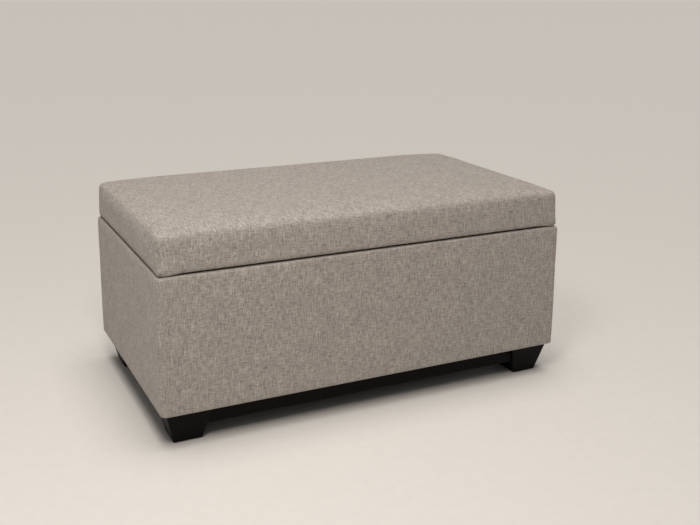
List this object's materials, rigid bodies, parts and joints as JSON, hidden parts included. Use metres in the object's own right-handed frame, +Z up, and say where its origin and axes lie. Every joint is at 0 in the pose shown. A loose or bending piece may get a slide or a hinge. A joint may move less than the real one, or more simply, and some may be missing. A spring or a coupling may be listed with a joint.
{
  "type": "storage bench",
  "caption": "Upholstered storage bench with a hinged cushioned lid over a lined box, on tapered black feet.",
  "frame": {"origin": "middle of the footprint, on the floor", "axes": "X along the width, -Y towards the front, +Z up"},
  "size_m": [0.965, 0.5575, 0.46],
  "materials": {
    "upholstery_fabric": "heathered linen-look weave",
    "lining_cloth": "plain non-woven cloth",
    "dust_cloth": "thin non-woven cloth",
    "foam": "open-cell foam",
    "panel_board": "raw plywood",
    "post_wood": "raw softwood",
    "black_wood": "matt black paint",
    "glide_plastic": "moulded",
    "bumper_rubber": "moulded",
    "plated_steel": "nickel plated",
    "zinc_steel": "zinc plated"
  },
  "bodies": {
    "box": {"front_panel": "panel_board", "back_panel": "panel_board", "left_panel": "panel_board", "right_panel": "panel_board", "bottom_panel": "panel_board", "front_left_post": "post_wood", "front_right_post": "post_wood", "back_left_post": "post_wood", "back_right_post": "post_wood", "front_upholstery": "upholstery_fabric", "back_upholstery": "upholstery_fabric", "left_upholstery": "upholstery_fabric", "right_upholstery": "upholstery_fabric", "front_lining": "lining_cloth", "back_lining": "lining_cloth", "left_lining": "lining_cloth", "right_lining": "lining_cloth", "bottom_lining": "lining_cloth", "dust_cover": "dust_cloth", "front_rail": "black_wood", "back_rail": "black_wood", "front_left_foot": "black_wood", "front_right_foot": "black_wood", "back_left_foot": "black_wood", "back_right_foot": "black_wood", "foot_glides": "glide_plastic", "foot_bolts": "zinc_steel", "foot_tee_nuts": "zinc_steel", "rail_screws": "zinc_steel", "panel_screws": "zinc_steel", "bottom_screws": "zinc_steel", "left_hinge_leaf": "plated_steel", "right_hinge_leaf": "plated_steel", "left_hinge_pin": "plated_steel", "right_hinge_pin": "plated_steel", "hinge_screws": "zinc_steel", "left_stay_stud": "plated_steel", "right_stay_stud": "plated_steel"},
    "lid": {"lid_board": "panel_board", "lid_foam": "foam", "lid_cover": "upholstery_fabric", "lid_lining": "lining_cloth", "left_lid_leaf": "plated_steel", "right_lid_leaf": "plated_steel", "lid_hinge_screws": "zinc_steel", "left_stay_bracket": "plated_steel", "right_stay_bracket": "plated_steel", "bracket_screws": "zinc_steel", "left_stay_pin": "zinc_steel", "right_stay_pin": "zinc_steel", "lid_bumpers": "bumper_rubber"},
    "stay_left": {"left_stay_arm": "plated_steel"},
    "stay_right": {"right_stay_arm": "plated_steel"}
  },
  "joints": [
    {"name": "lid_hinge", "type": "hinge", "parent": "box", "child": "lid", "pos_m": [0, 0.279, 0.367], "axis": [-1, 0, 0], "range_deg": [0, 85]},
    {"name": "stay_left_pivot", "type": "hinge", "parent": "lid", "child": "stay_left", "pos_m": [-0.4552, 0.13953, 0.3548], "axis": [-1, 0, 0], "range_deg": [-42.5, 0]},
    {"name": "stay_right_pivot", "type": "hinge", "parent": "lid", "child": "stay_right", "pos_m": [0.4552, 0.13953, 0.3548], "axis": [-1, 0, 0], "range_deg": [-42.5, 0]}
  ],
  "couplings": [
    {"joint": "stay_left_pivot", "follows": "lid_hinge", "ratio": -0.5},
    {"joint": "stay_right_pivot", "follows": "lid_hinge", "ratio": -0.5}
  ]
}
